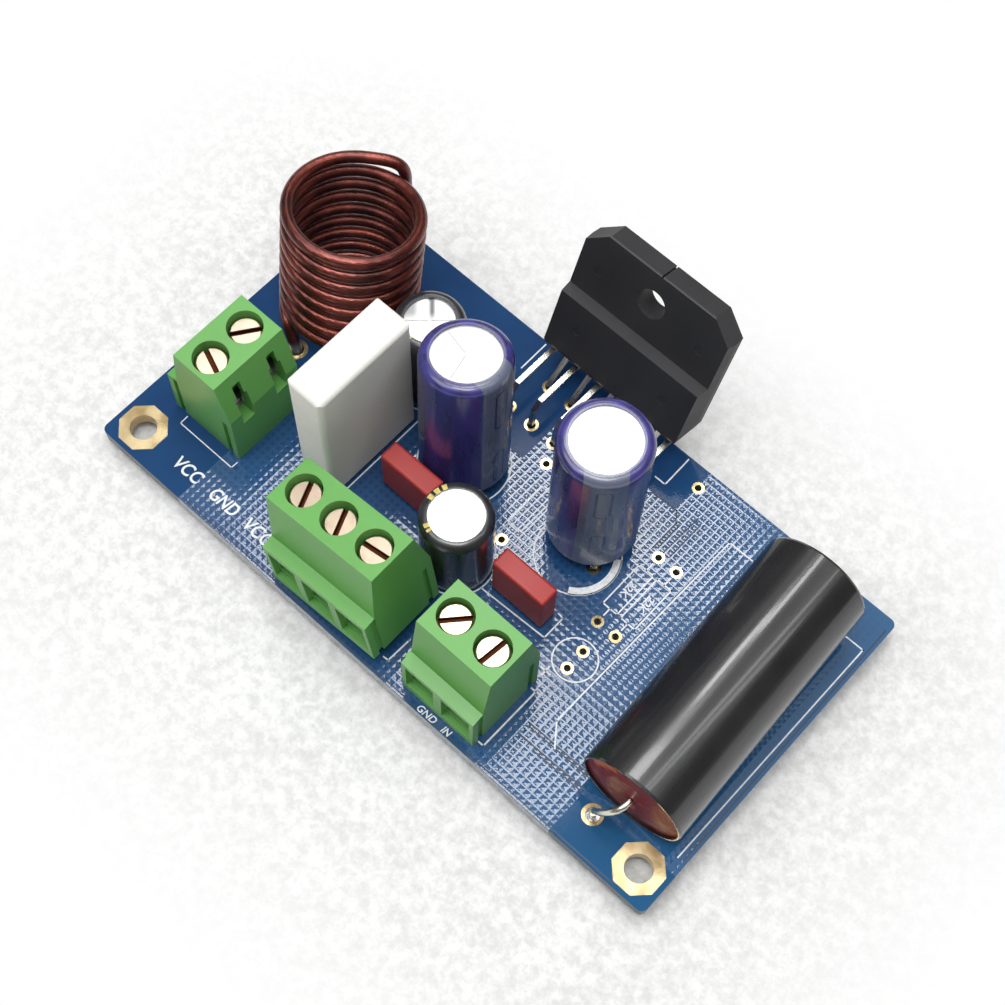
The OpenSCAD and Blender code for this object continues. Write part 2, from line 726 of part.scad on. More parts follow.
sleeve(cap2, tall_d, tall_l, tall_z2, 1.25, blue, 0);  // tall_sleeve_2
bung(cap2, tall_d, tall_z2, 5, 0);  // tall_bung_2
bent_legs();  // tall_legs_2
can(cap3, short_d, short_l, short_z, 0.12, [150, 30, 270], 0);  // short_can
sleeve(cap3, short_d, short_l, short_z, 1.0, black, 0);  // short_sleeve
bung(cap3, short_d, short_z, 3.5, 0);  // short_bung
can_legs(cap3, short_z, 3.5);  // short_legs
can(cap4, small_d, small_l, small_z, 0.28, [133, 313, 223, 43], 0);  // small_can
sleeve(cap4, small_d, small_l, small_z, 1.25, black, 0);  // small_sleeve
bung(cap4, small_d, small_z, 3.5, 0);  // small_bung
can_legs(cap4, small_z, 3.5);  // small_legs
box_cap(box1);  // box_1
box_legs(box1);  // box_legs_1
box_cap(box2);  // box_2
box_legs(box2);  // box_legs_2
film_core();
film_wrap();
film_legs();
chip_body();
chip_legs();
solder();
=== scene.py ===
"""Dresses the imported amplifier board: lacquer, print, pads, finishes, floor, light and camera."""

import math

import bmesh
import bpy
from mathutils import Matrix, Vector


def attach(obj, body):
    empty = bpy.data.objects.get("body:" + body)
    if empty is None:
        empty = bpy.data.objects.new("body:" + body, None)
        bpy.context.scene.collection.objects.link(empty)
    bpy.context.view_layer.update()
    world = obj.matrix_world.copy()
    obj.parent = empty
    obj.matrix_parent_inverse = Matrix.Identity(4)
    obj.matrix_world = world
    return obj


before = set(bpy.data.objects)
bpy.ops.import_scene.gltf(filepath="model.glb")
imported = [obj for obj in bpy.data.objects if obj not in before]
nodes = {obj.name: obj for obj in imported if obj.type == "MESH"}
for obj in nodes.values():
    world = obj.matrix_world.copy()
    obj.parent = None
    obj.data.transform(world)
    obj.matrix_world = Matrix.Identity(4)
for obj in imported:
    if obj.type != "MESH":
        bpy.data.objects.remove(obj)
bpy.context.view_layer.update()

MM = 0.001
BODY = "board_body"

# sizes and places are in millimetres, from the board's front left top corner, and turns in degrees
BOARD_L, BOARD_T = 80.0, 1.6
HOLE_INSET = 3.3
LEAD_BELOW = 1.6
FLOOR_Z = -LEAD_BELOW * MM

# middles of the two-legged parts, and the gaps between their legs
TALL_1, TALL_2, SHORT, SMALL = (32.54, 24.69), (48.46, 28.05), (39.9, 15.6), (22.6, 29.93)
BOX_1, BOX_2 = (31.2, 17.9), (48.4, 16.95)
WIDE_GAP, NARROW_GAP = 5.0, 3.5
# the first tall capacitor leans over its foot: angle, way it leans, height of its foot
TALL_1_LEAN = (8.7, 128.8, 1.8)
# the second one stands behind its feet
TALL_2_FEET = (49.1, 25.0)

# the film capacitor lies askew
FILM_TWIST = 2.1
FILM_FOOT = (69.55, 4.3)
COIL_FEET = ((8.70, 22.09), (8.76, 40.71))
# the chip's two rows of legs: how many and how far back; the rows take turns at this pitch
CHIP_ROWS = ((6, 33.3), (5, 38.3))
CHIP_PITCH = 1.7

# the three-pole block stands on its left foot and leans over it
BLOCK_2 = (27.0, 0.6)
BLOCK_2_TILT, BLOCK_2_TWIST = 7.4, 0.6
BLOCK_2_SCREWS = "345"
SCREW_TOP = 13.5

# empty footprints: a small lamp, two resistors and three single holes
LAMP_MIDDLE, LAMP_GAP = (57.1, 15.67), 2.54
RESISTOR_XS, RESISTOR_Y, RESISTOR_SPAN = (56.0, 58.54), 25.65, 10.16
SINGLE_HOLES = [(41.95, 20.6), (39.4, 30.8), (53.8, 40.15)]

# copper under the lacquer: where its pour starts, and the corners of the places without it
POUR_START = 12.4
BARE_BACK, BARE_LEGS, BARE_FOOT = (37.0, 29.5), (53.6, 36.3), (67.3, 5.2)
HATCH_PITCH, HATCH_DEPTH = 0.81, 0.013
# painted reflection: the lacquer is painted paler from here to the right end, where the glossy board reflects
# brighter surroundings
PAINTED_SHEEN_FROM = 45.0


def at(x, y, z=0.0):
    """Board millimetres to the part's frame in metres."""
    return Vector(((x - BOARD_L / 2) * MM, (y - HOLE_INSET) * MM, (z + BOARD_T) * MM))


# shader helpers

FLOAT, COLOUR, VECTOR = "NodeSocketFloat", "NodeSocketColor", "NodeSocketVector"
ABOVE, BELOW = "GREATER_THAN", "LESS_THAN"


def put(tree, kind, **settings):
    n = tree.nodes.new(kind)
    for key, value in settings.items():
        setattr(n, key, value)
    return n


def feed(tree, socket, value):
    """Links a socket, or sets it to a plain value."""
    if isinstance(value, bpy.types.NodeSocket):
        tree.links.new(value, socket)
    elif value is not None:
        socket.default_value = value


def maths(tree, operation, a, b=None, c=None):
    n = put(tree, "ShaderNodeMath", operation=operation)
    for socket, value in zip(n.inputs, (a, b, c)):
        feed(tree, socket, value)
    return n.outputs[0]


def fold(tree, operation, first, *others):
    """One operation over several values, from the first to the last."""
    for other in others:
        first = maths(tree, operation, first, other)
    return first


def diagonal(tree, a, b):
    """Length of the two sides together."""
    squares = [maths(tree, "MULTIPLY", side, side) for side in (a, b)]
    return maths(tree, "SQRT", maths(tree, "ADD", *squares))


def ease(tree, value, low, high, to_low=0.0, to_high=1.0):
    """Soft step of a value between two ends."""
    n = put(tree, "ShaderNodeMapRange", interpolation_type="SMOOTHSTEP")
    ends = (("Value", value), ("From Min", low), ("From Max", high), ("To Min", to_low), ("To Max", to_high))
    for key, end in ends:
        feed(tree, n.inputs[key], end)
    return n.outputs["Result"]


def tint(tree, mask, a, b):
    """Colour a where the mask is black, colour b where it is white."""
    n = put(tree, "ShaderNodeMix", data_type="RGBA")
    feed(tree, n.inputs["Factor"], mask)
    for socket, colour in ((n.inputs[6], a), (n.inputs[7], b)):
        feed(tree, socket, colour if isinstance(colour, bpy.types.NodeSocket) else (*colour, 1.0))
    return n.outputs[2]


def shaded(tree, colour, brightness):
    n = put(tree, "ShaderNodeHueSaturation")
    feed(tree, n.inputs["Value"], brightness)
    feed(tree, n.inputs["Color"], colour)
    return n.outputs[0]


def speckle(tree, vector, scale, detail=2.0, rough=0.5):
    n = put(tree, "ShaderNodeTexNoise")
    for key, value in (("Vector", vector), ("Scale", scale), ("Detail", detail), ("Roughness", rough)):
        feed(tree, n.inputs[key], value)
    return n.outputs["Fac"]


def stretched(tree, vector, scale):
    n = put(tree, "ShaderNodeMapping")
    feed(tree, n.inputs["Vector"], vector)
    n.inputs["Scale"].default_value = scale
    return n.outputs[0]


def split(tree, vector):
    """The three coordinates of a vector."""
    n = put(tree, "ShaderNodeSeparateXYZ")
    feed(tree, n.inputs[0], vector)
    return n.outputs


def group(name, inputs, outputs):
    """A shader node group with named sockets, and its two end nodes."""
    tree = bpy.data.node_groups.new(name, "ShaderNodeTree")
    for label, kind, value in inputs:
        socket = tree.interface.new_socket(name=label, in_out="INPUT", socket_type=kind)
        if value is not None:
            socket.default_value = value
    for label, kind in outputs:
        tree.interface.new_socket(name=label, in_out="OUTPUT", socket_type=kind)
    return tree, tree.nodes.new("NodeGroupInput").outputs, tree.nodes.new("NodeGroupOutput").inputs


def use(tree, grp, **values):
    """Places a group in a tree and feeds its inputs."""
    n = put(tree, "ShaderNodeGroup", node_tree=grp)
    for key, value in values.items():
        feed(tree, n.inputs[key.replace("_", " ")], value)
    return n.outputs


# effects that the finishes are built from

def moulded_surface():
    """Slow colour drift, fine grain and the grain's height."""
    tree, given, result = group(
        "moulded_surface",
        [("Vector", VECTOR, None), ("Colour", COLOUR, (0.5, 0.5, 0.5, 1)),
         ("Drift", FLOAT, 0.15), ("Grain Scale", FLOAT, 9000.0)],
        [("Colour", COLOUR), ("Height", FLOAT), ("Roughness Shift", FLOAT)])
    drift = maths(tree, "SUBTRACT", speckle(tree, given["Vector"], scale=160.0, detail=3.0), 0.5)
    grain = speckle(tree, given["Vector"], scale=given["Grain Scale"])
    lift = maths(tree, "MULTIPLY", drift, given["Drift"])
    fine = maths(tree, "MULTIPLY", maths(tree, "SUBTRACT", grain, 0.5), 0.12)
    feed(tree, result["Colour"], shaded(tree, given["Colour"], fold(tree, "ADD", lift, fine, 1.0)))
    feed(tree, result["Height"], grain)
    feed(tree, result["Roughness Shift"], maths(tree, "MULTIPLY", drift, 0.3))
    return tree


def around_axis():
    """Place around an upright axis: Facing runs outwards at the chosen turn, Across beside it."""
    tree, given, result = group(
        "around_axis",
        [("Vector", VECTOR, None), ("Centre", VECTOR, (0, 0, 0)), ("Turn", FLOAT, 0.0)],
        [("Facing", FLOAT), ("Across", FLOAT), ("Up", FLOAT), ("Radius", FLOAT)])
    shift = put(tree, "ShaderNodeVectorMath", operation="SUBTRACT")
    feed(tree, shift.inputs[0], given["Vector"])
    feed(tree, shift.inputs[1], given["Centre"])
    spun = put(tree, "ShaderNodeVectorRotate", rotation_type="Z_AXIS")
    feed(tree, spun.inputs["Vector"], shift.outputs[0])
    feed(tree, spun.inputs["Angle"], maths(tree, "MULTIPLY", given["Turn"], -1.0))
    facing, across, up = split(tree, spun.outputs[0])
    feed(tree, result["Facing"], facing)
    feed(tree, result["Across"], across)
    feed(tree, result["Up"], up)
    feed(tree, result["Radius"], diagonal(tree, facing, across))
    return tree


def rounded_box():
    """Signed distance to the edge of a flat box with round corners."""
    tree, given, result = group(
        "rounded_box",
        [("Across", FLOAT, 0.0), ("Up", FLOAT, 0.0), ("Half Width", FLOAT, 0.001),
         ("Half Height", FLOAT, 0.003), ("Corner", FLOAT, 0.0005)],
        [("Distance", FLOAT)])
    past = []
    for place, half in (("Across", "Half Width"), ("Up", "Half Height")):
        reach = maths(tree, "SUBTRACT", maths(tree, "ABSOLUTE", given[place]), given[half])
        past.append(maths(tree, "ADD", reach, given["Corner"]))
    outer = diagonal(tree, *(maths(tree, "MAXIMUM", p, 0.0) for p in past))
    inner = maths(tree, "MINIMUM", maths(tree, "MAXIMUM", *past), 0.0)
    feed(tree, result["Distance"], maths(tree, "SUBTRACT", maths(tree, "ADD", outer, inner), given["Corner"]))
    return tree


def crossed_copper():
    """Rounded ridges on a square grid."""
    tree, given, result = group(
        "crossed_copper",
        [("X", FLOAT, 0.0), ("Y", FLOAT, 0.0), ("Pitch", FLOAT, 0.0008)],
        [("Height", FLOAT)])
    blend = 0.25
    waves = []
    for axis in ("X", "Y"):
        turn = maths(tree, "DIVIDE", maths(tree, "MULTIPLY", given[axis], 2 * math.pi), given["Pitch"])
        waves.append(maths(tree, "MULTIPLY_ADD", maths(tree, "COSINE", turn), 0.5, 0.5))
    feed(tree, result["Height"], maths(tree, "SMOOTH_MAX", *waves, blend))
    return tree


def drawn_metal():
    """Metal that was drawn, cut or plated: blotches, and fine streaks in its shine."""
    tree, given, result = group(
        "drawn_metal",
        [("Vector", VECTOR, None), ("Colour", COLOUR, (0.6, 0.6, 0.6, 1)), ("Roughness", FLOAT, 0.3)],
        [("Colour", COLOUR), ("Roughness", FLOAT), ("Height", FLOAT)])
    streak = speckle(tree, given["Vector"], scale=1400.0, detail=4.0)
    blotch = speckle(tree, given["Vector"], scale=420.0)
    duller = maths(tree, "MULTIPLY", maths(tree, "SUBTRACT", streak, 0.5), 0.25)
    brightness = maths(tree, "MULTIPLY_ADD", blotch, 0.35, 0.82)
    feed(tree, result["Colour"], shaded(tree, given["Colour"], brightness))
    feed(tree, result["Roughness"], maths(tree, "ADD", given["Roughness"], duller))
    feed(tree, result["Height"], streak)
    return tree


moulded, around, rounded = moulded_surface(), around_axis(), rounded_box()
crossed, drawn = crossed_copper(), drawn_metal()


# finishes; lengths without MM are in metres, and the scales of speckles are per metre

def new_finish(name, **plain):
    """A new material with its shader; plain values go straight on the shader's sockets."""
    m = bpy.data.materials.new(name)
    m.use_nodes = True
    tree = m.node_tree
    tree.nodes.clear()
    out = put(tree, "ShaderNodeOutputMaterial")
    shader = put(tree, "ShaderNodeBsdfPrincipled")
    tree.links.new(shader.outputs[0], out.inputs["Surface"])
    for key, value in plain.items():
        shader.inputs[key.replace("_", " ")].default_value = value
    place = put(tree, "ShaderNodeTexCoord").outputs["Object"]
    return m, tree, shader, place


def bump(tree, shader, height, depth, strength=1.0):
    n = put(tree, "ShaderNodeBump")
    n.inputs["Strength"].default_value = strength
    n.inputs["Distance"].default_value = depth
    feed(tree, n.inputs["Height"], height)
    feed(tree, shader.inputs["Normal"], n.outputs[0])
    return n.outputs[0]


def surface(tree, shader, colour, roughness):
    feed(tree, shader.inputs["Base Color"], colour)
    feed(tree, shader.inputs["Roughness"], roughness)


def plastic(name, colour, roughness, drift=0.2, grain_scale=9000.0, depth=0.000004):
    m, tree, shader, place = new_finish(name)
    o = use(tree, moulded, Vector=place, Colour=(*colour, 1.0), Drift=drift, Grain_Scale=grain_scale)
    surface(tree, shader, o["Colour"], maths(tree, "ADD", o["Roughness Shift"], roughness))
    bump(tree, shader, o["Height"], depth)
    return m


def metal(name, colour, roughness, stretch=(1, 1, 1)):
    m, tree, shader, place = new_finish(name, Metallic=1.0)
    streaks = stretched(tree, place, stretch)
    o = use(tree, drawn, Vector=streaks, Colour=(*colour, 1.0), Roughness=roughness)
    surface(tree, shader, o["Colour"], o["Roughness"])
    bump(tree, shader, o["Height"], depth=0.000003)
    return m


def beyond(tree, x, y, corner, x_test, y_test):
    """Mask of the board on the chosen sides of a corner."""
    edge = at(*corner)
    return maths(tree, "MULTIPLY", maths(tree, x_test, x, edge.x), maths(tree, y_test, y, edge.y))


def lacquered_board():
    """Blue lacquer, glossy over the pour of crossed copper, and bare laminate on the cut edges."""
    m, tree, shader, place = new_finish("blue_lacquer", Specular_IOR_Level=0.05, Coat_Roughness=0.07)
    x, y, z = split(tree, place)
    # no copper at the left end, in the back left corner, around the chip's legs and the film capacitor's foot
    bare = fold(tree, "MAXIMUM", beyond(tree, x, y, BARE_BACK, BELOW, ABOVE),
                beyond(tree, x, y, BARE_LEGS, BELOW, ABOVE), beyond(tree, x, y, BARE_FOOT, ABOVE, BELOW))
    started = maths(tree, ABOVE, x, at(POUR_START, 0).x)
    pour = maths(tree, "MULTIPLY", started, maths(tree, "SUBTRACT", 1.0, bare))
    net = use(tree, crossed, X=x, Y=y, Pitch=HATCH_PITCH * MM)["Height"]
    lines = maths(tree, "MULTIPLY", net, pour)
    cloud = speckle(tree, place, scale=90.0, detail=3.0)
    grain = speckle(tree, place, scale=5200.0)
    deep, pale, far = (0.011, 0.04, 0.12), (0.014, 0.055, 0.15), (0.018, 0.09, 0.205)
    ground = tint(tree, ease(tree, cloud, 0.3, 0.7), deep, pale)
    # painted reflection: the lacquer turns paler toward the right end
    ground = tint(tree, ease(tree, x, at(PAINTED_SHEEN_FROM, 0).x, at(BOARD_L, 0).x), ground, far)
    lined = tint(tree, maths(tree, "MULTIPLY", lines, 0.4), ground, (0.03, 0.105, 0.25))
    # the cut edge is all that lies between the two lacquered faces
    half, skin = BOARD_T / 2 * MM, 0.01 * MM
    from_middle = maths(tree, "ABSOLUTE", maths(tree, "SUBTRACT", z, half))
    side = maths(tree, BELOW, from_middle, half - skin)
    weave = speckle(tree, stretched(tree, place, (1, 1, 14)), scale=900.0)
    laminate = tint(tree, weave, (0.05, 0.06, 0.075), (0.17, 0.18, 0.16))
    surface(tree, shader, tint(tree, side, lined, laminate), ease(tree, cloud, 0.2, 0.8, 0.05, 0.12))
    feed(tree, shader.inputs["Coat Weight"], maths(tree, "MULTIPLY_ADD", pour, 0.96, 0.04))
    height = maths(tree, "ADD", lines, maths(tree, "MULTIPLY", grain, 0.18))
    normal = bump(tree, shader, height, HATCH_DEPTH * MM)
    feed(tree, shader.inputs["Coat Normal"], normal)
    return m


def straightened(tree, place, centre, lean):
    """Coordinates of a leaning can, turned back as if it stood upright on its foot."""
    angle, way, foot = lean
    n = put(tree, "ShaderNodeVectorRotate", rotation_type="AXIS_ANGLE")
    feed(tree, n.inputs["Vector"], place)
    n.inputs["Center"].default_value = at(*centre, foot)
    n.inputs["Axis"].default_value = (-math.sin(math.radians(way)), math.cos(math.radians(way)), 0.0)
    n.inputs["Angle"].default_value = -math.radians(angle)
    return n.outputs[0]


def round_can(tree, place, centre, turn, lean):
    """A can's own upright place, and its coordinates around the axis from the given turn."""
    if lean:
        place = straightened(tree, place, centre, lean)
    c = at(*centre)
    return place, use(tree, around, Vector=place, Centre=(c.x, c.y, 0.0), Turn=math.radians(turn))


def printed_sleeve(name, centre, base, deep, turn=0.0, half_width=0.0, stripe=None, marks=(), lean=None):
    """Shrunk film with a printed stripe that runs over the lip, and dark outlined marks on it."""
    m, tree, shader, place = new_finish(name, Coat_Weight=0.6, Coat_Roughness=0.12)
    place, o = round_can(tree, place, centre, turn, lean)
    wave = speckle(tree, stretched(tree, place, (1, 1, 0.25)), scale=520.0, detail=3.0)
    colour = tint(tree, ease(tree, wave, 0.3, 0.75), deep, base)
    if half_width:
        front = maths(tree, ABOVE, o["Facing"], 0.0)
        edge = maths(tree, "SUBTRACT", half_width * MM, maths(tree, "ABSOLUTE", o["Across"]))
        band = maths(tree, "MULTIPLY", ease(tree, edge, -0.00003, 0.00003), front)
        colour = tint(tree, band, colour, stripe)
        for up, half_w, half_h in marks:
            rise = maths(tree, "SUBTRACT", o["Up"], (up + BOARD_T) * MM)
            rim = use(tree, rounded, Across=o["Across"], Up=rise, Half_Width=half_w * MM,
                      Half_Height=half_h * MM, Corner=half_w * 0.7 * MM)["Distance"]
            line = ease(tree, maths(tree, "ABSOLUTE", rim), 0.00010, 0.00018, 1.0, 0.0)
            colour = tint(tree, fold(tree, "MULTIPLY", line, front, 0.95), colour, (0.03, 0.034, 0.075))
    surface(tree, shader, colour, ease(tree, wave, 0.2, 0.8, 0.22, 0.36))
    bump(tree, shader, wave, depth=0.00002)
    return m


def enamelled_wire():
    """Brown enamel over copper, tinned at the feet."""
    m, tree, shader, place = new_finish("wire_enamel", Metallic=0.85, Coat_Weight=0.4, Coat_Roughness=0.24)
    tinned_to, enamel_from = 0.9, 2.0
    cloud = speckle(tree, place, scale=260.0, detail=4.0)
    scuff = speckle(tree, stretched(tree, place, (1, 1, 3)), scale=1500.0, detail=3.0)
    enamel = tint(tree, ease(tree, cloud, 0.3, 0.72), (0.062, 0.013, 0.01), (0.21, 0.044, 0.03))
    height = split(tree, place)[2]
    tinned = ease(tree, height, (BOARD_T + tinned_to) * MM, (BOARD_T + enamel_from) * MM, 1.0, 0.0)
    colour = tint(tree, tinned, enamel, (0.55, 0.52, 0.47))
    surface(tree, shader, colour, ease(tree, scuff, 0.25, 0.8, 0.3, 0.45))
    bump(tree, shader, scuff, depth=0.000006)
    return m


def ceramic():
    """Cast white ceramic with small pits."""
    m, tree, shader, place = new_finish("cast_ceramic")
    o = use(tree, moulded, Vector=place, Colour=(0.8, 0.785, 0.73, 1.0), Drift=0.14, Grain_Scale=2600.0)
    pit = ease(tree, speckle(tree, place, scale=700.0), 0.74, 0.8)
    colour = tint(tree, maths(tree, "MULTIPLY", pit, 0.45), o["Colour"], (0.4, 0.36, 0.28))
    surface(tree, shader, colour, maths(tree, "ADD", o["Roughness Shift"], 0.62))
    bump(tree, shader, o["Height"], depth=0.00001)
    return m


def can_metal(name, centre, brightness=1.0, turn=0.0, vent_shade_amount=0.0, lean=None):
    """Turned aluminium, lighter or darker by the given brightness, which is painted light and shade; painted
    shade darkens the top along and beside the vent that lies at the given turn.
    """
    m, tree, shader, place = new_finish(name, Metallic=1.0)
    place, o = round_can(tree, place, centre, turn, lean)
    cloud = speckle(tree, place, scale=600.0, detail=3.0)
    bright = tint(tree, cloud, (0.6 * brightness,) * 3, (0.74 * brightness,) * 3)
    # painted shade: a dark line along the vent and a darker band beside it on the top
    off_line = maths(tree, "ABSOLUTE", maths(tree, "ADD", o["Across"], 0.00025))
    beside = maths(tree, "ADD", ease(tree, off_line, 0.0, 0.0006, 0.9, 0.0),
                   ease(tree, o["Across"], 0.0009, 0.0019, 0.0, 0.6))
    outwards = ease(tree, o["Facing"], -0.0004, 0.0012)
    painted_vent_shade = fold(tree, "MULTIPLY", beside, outwards, vent_shade_amount)
    colour = tint(tree, painted_vent_shade, bright, (0.06, 0.06, 0.065))
    surface(tree, shader, colour, ease(tree, cloud, 0.2, 0.8, 0.34, 0.46))
    lathe_mark = maths(tree, "SINE", maths(tree, "MULTIPLY", o["Radius"], 52000.0))
    bump(tree, shader, maths(tree, "ADD", maths(tree, "MULTIPLY", lathe_mark, 0.2), cloud), depth=0.000003)
    return m


def resin_ends():
    """Dark red cast resin with a few orange patches."""
    m, tree, shader, place = new_finish("cast_resin", Specular_IOR_Level=0.12)
    patch = speckle(tree, place, scale=240.0)
    cloud = speckle(tree, place, scale=1300.0, detail=3.0)
    resin = tint(tree, cloud, (0.1, 0.008, 0.009), (0.2, 0.016, 0.015))
    colour = tint(tree, ease(tree, patch, 0.56, 0.66), resin, (0.5, 0.11, 0.02))
    surface(tree, shader, colour, ease(tree, cloud, 0.2, 0.8, 0.3, 0.5))
    bump(tree, shader, cloud, depth=0.00004)
    return m


def tape_wrap():
    """Black film with fine folds along the capacitor's length."""
    m, tree, shader, place = new_finish("wrap_film", Coat_Weight=0.5, Coat_Roughness=0.08)
    turned = put(tree, "ShaderNodeVectorRotate", rotation_type="Z_AXIS")
    feed(tree, turned.inputs["Vector"], place)
    turned.inputs["Angle"].default_value = math.radians(-FILM_TWIST)
    along = speckle(tree, stretched(tree, turned.outputs[0], (1, 0.035, 1)), scale=900.0, detail=3.0)
    cloud = speckle(tree, place, scale=150.0, detail=3.0)
    colour = tint(tree, cloud, (0.008, 0.008, 0.009), (0.026, 0.026, 0.027))
    surface(tree, shader, colour, ease(tree, along, 0.25, 0.75, 0.16, 0.34))
    bump(tree, shader, along, depth=0.000022)
    return m


def gold_plate():
    m, tree, shader, place = new_finish("gold_plate", Metallic=1.0)
    cloud = speckle(tree, place, scale=330.0, detail=3.0)
    colour = tint(tree, ease(tree, cloud, 0.3, 0.7), (0.42, 0.3, 0.14), (0.62, 0.5, 0.29))
    surface(tree, shader, colour, ease(tree, cloud, 0.2, 0.8, 0.14, 0.28))
    bump(tree, shader, speckle(tree, place, scale=3000.0), depth=0.000004)
    return m


def slotted_screw(name, foot, up):
    """Plated head with painted shade in its slot: everything that lies below the head's top face is painted
    dark brown.
    """
    m, tree, shader, place = new_finish(name, Metallic=1.0)
    dark_from, dark_to = 0.1, 0.3
    streaks = stretched(tree, place, (1, 1, 0.2))
    o = use(tree, drawn, Vector=streaks, Colour=(0.68, 0.56, 0.42, 1.0), Roughness=0.34)
    rise = put(tree, "ShaderNodeVectorMath", operation="DOT_PRODUCT")
    feed(tree, rise.inputs[0], place)
    rise.inputs[1].default_value = up
    height = maths(tree, "SUBTRACT", rise.outputs["Value"], at(*foot).dot(Vector(up)))
    # painted shade: below the head's top face the slot is painted dark brown
    painted_slot_shade = ease(tree, height, (SCREW_TOP - dark_to) * MM, (SCREW_TOP - dark_from) * MM, 1.0, 0.0)
    blush = ease(tree, speckle(tree, place, scale=900.0, detail=3.0), 0.45, 0.65)
    plating = tint(tree, maths(tree, "MULTIPLY", blush, 0.5), o["Colour"], (0.66, 0.44, 0.38))
    dull = maths(tree, "ADD", o["Roughness"], maths(tree, "MULTIPLY", painted_slot_shade, 0.3))
    surface(tree, shader, tint(tree, painted_slot_shade, plating, (0.11, 0.035, 0.015)), dull)
    bump(tree, shader, o["Height"], depth=0.000004)
    return m


def printed_ink(name, light, dark):
    m, tree, shader, place = new_finish(name)
    ink = speckle(tree, place, scale=2400.0, detail=3.0)
    colour = tint(tree, ease(tree, ink, 0.3, 0.62), dark, light)
    surface(tree, shader, colour, ease(tree, ink, 0.2, 0.8, 0.45, 0.65))
    return m


green = plastic("terminal_green", (0.115, 0.345, 0.075), roughness=0.42,
                drift=0.22, grain_scale=7000.0, depth=0.000005)
red = plastic("box_red", (0.36, 0.03, 0.026), roughness=0.5,
              drift=0.25, grain_scale=5000.0, depth=0.000007)
chip_black = plastic("chip_moulding", (0.024, 0.024, 0.026), roughness=0.55,
                     drift=0.4, grain_scale=5200.0, depth=0.000016)
rubber = plastic("bung_rubber", (0.018, 0.018, 0.018), roughness=0.75)
gap_paint = plastic("track_gaps", (0.006, 0.014, 0.04), roughness=0.4)

tilt, twist = math.radians(BLOCK_2_TILT), math.radians(BLOCK_2_TWIST)
LEAN_UP = (-math.sin(tilt) * math.cos(twist), -math.sin(tilt) * math.sin(twist), math.cos(tilt))
upright_screw = slotted_screw("passivated_screw", (0.0, 0.0), (0.0, 0.0, 1.0))
leaning_screw = slotted_screw("passivated_screw_leaning", BLOCK_2, LEAN_UP)
cage_metal = metal("plated_cage", (0.6, 0.6, 0.58), roughness=0.32)
pin_metal = metal("tinned_pin", (0.7, 0.68, 0.62), roughness=0.3)
leg_metal = metal("tinned_leg", (0.74, 0.71, 0.62), roughness=0.28, stretch=(1, 0.2, 0.2))
solder_metal = metal("bright_solder", (0.66, 0.67, 0.68), roughness=0.22)
gold = gold_plate()
print_white = printed_ink("print_white", (0.78, 0.8, 0.82), (0.6, 0.63, 0.68))
print_gold = printed_ink("print_gold", (0.62, 0.5, 0.12), (0.36, 0.28, 0.06))

BLUE, NAVY, STRIPE = (0.046, 0.04, 0.225), (0.028, 0.024, 0.115), (0.105, 0.118, 0.178)
INK, INK_DEEP, YELLOW = (0.03, 0.03, 0.035), (0.018, 0.018, 0.021), (0.5, 0.42, 0.1)
# half widths and turns of the stripes, turn of the vent, and marks: height, half width and half height
TALL_STRIPE, SMALL_STRIPE = 2.25, 1.1
TALL_1_TURN, TALL_2_TURN, SMALL_TURN, VENT_TURN = 0.0, -48.5, 250.0, 133.0
TALL_1_MARKS = [(15.3, 0.78, 3.0), (5.0, 0.7, 2.5)]
TALL_2_MARKS = [(18.0, 0.78, 3.0), (7.9, 0.7, 2.5)]

dress = {
    "board": lacquered_board(),
    "coil": enamelled_wire(),
    "resistor_case": ceramic(),
    "tall_sleeve_1": printed_sleeve("sleeve_blue_1", TALL_1, BLUE, NAVY, TALL_1_TURN, TALL_STRIPE, STRIPE,
                                    TALL_1_MARKS, TALL_1_LEAN),
    "tall_sleeve_2": printed_sleeve("sleeve_blue_2", TALL_2, BLUE, NAVY, TALL_2_TURN, TALL_STRIPE, STRIPE,
                                    TALL_2_MARKS),
    "short_sleeve": printed_sleeve("sleeve_black", SHORT, INK, INK_DEEP),
    "small_sleeve": printed_sleeve("sleeve_dark", SMALL, INK, INK_DEEP, SMALL_TURN, SMALL_STRIPE, YELLOW),
    # painted light and shade: the first tall can's top is painted lighter and the small can's top darker than
    # the same aluminium on the others
    "tall_can_1": can_metal("can_top_1", TALL_1, brightness=1.15, lean=TALL_1_LEAN),
    "tall_can_2": can_metal("can_top_2", TALL_2),
    "short_can": can_metal("can_top_3", SHORT),
    "small_can": can_metal("can_top_4", SMALL, brightness=0.9, turn=VENT_TURN, vent_shade_amount=1.0),
    "box_1": red,
    "box_2": red,
    "film_core": resin_ends(),
    "film_wrap": tape_wrap(),
    "chip_body": chip_black,
    "solder": solder_metal,
}
families = {"housing": green, "screw": upright_screw, "cage": cage_metal, "pin": pin_metal, "bung": rubber}


def finish_of(name):
    """A node's finish, by its own name or its family; all that is left are legs."""
    if name in dress:
        return dress[name]
    if name.startswith("screw") and name[-1] in BLOCK_2_SCREWS:
        return leaning_screw
    for family, chosen in families.items():
        if family in name:
            return chosen
    return leg_metal


for name, obj in nodes.items():
    obj.data.materials.clear()
    obj.data.materials.append(finish_of(name))

# the swept wires are faceted solids; welded and subdivided they look drawn
WELD = 0.002 * MM
for name in ("coil", "film_legs", "tall_legs_2"):
    weld = nodes[name].modifiers.new("weld", "WELD")
    weld.merge_threshold = WELD
    soft = nodes[name].modifiers.new("soft", "SUBSURF")
    soft.levels = soft.render_levels = 1


# pieces made here

ARC_STEP, ARC_MIN_STEPS = 7, 6


def link(obj):
    bpy.context.scene.collection.objects.link(obj)


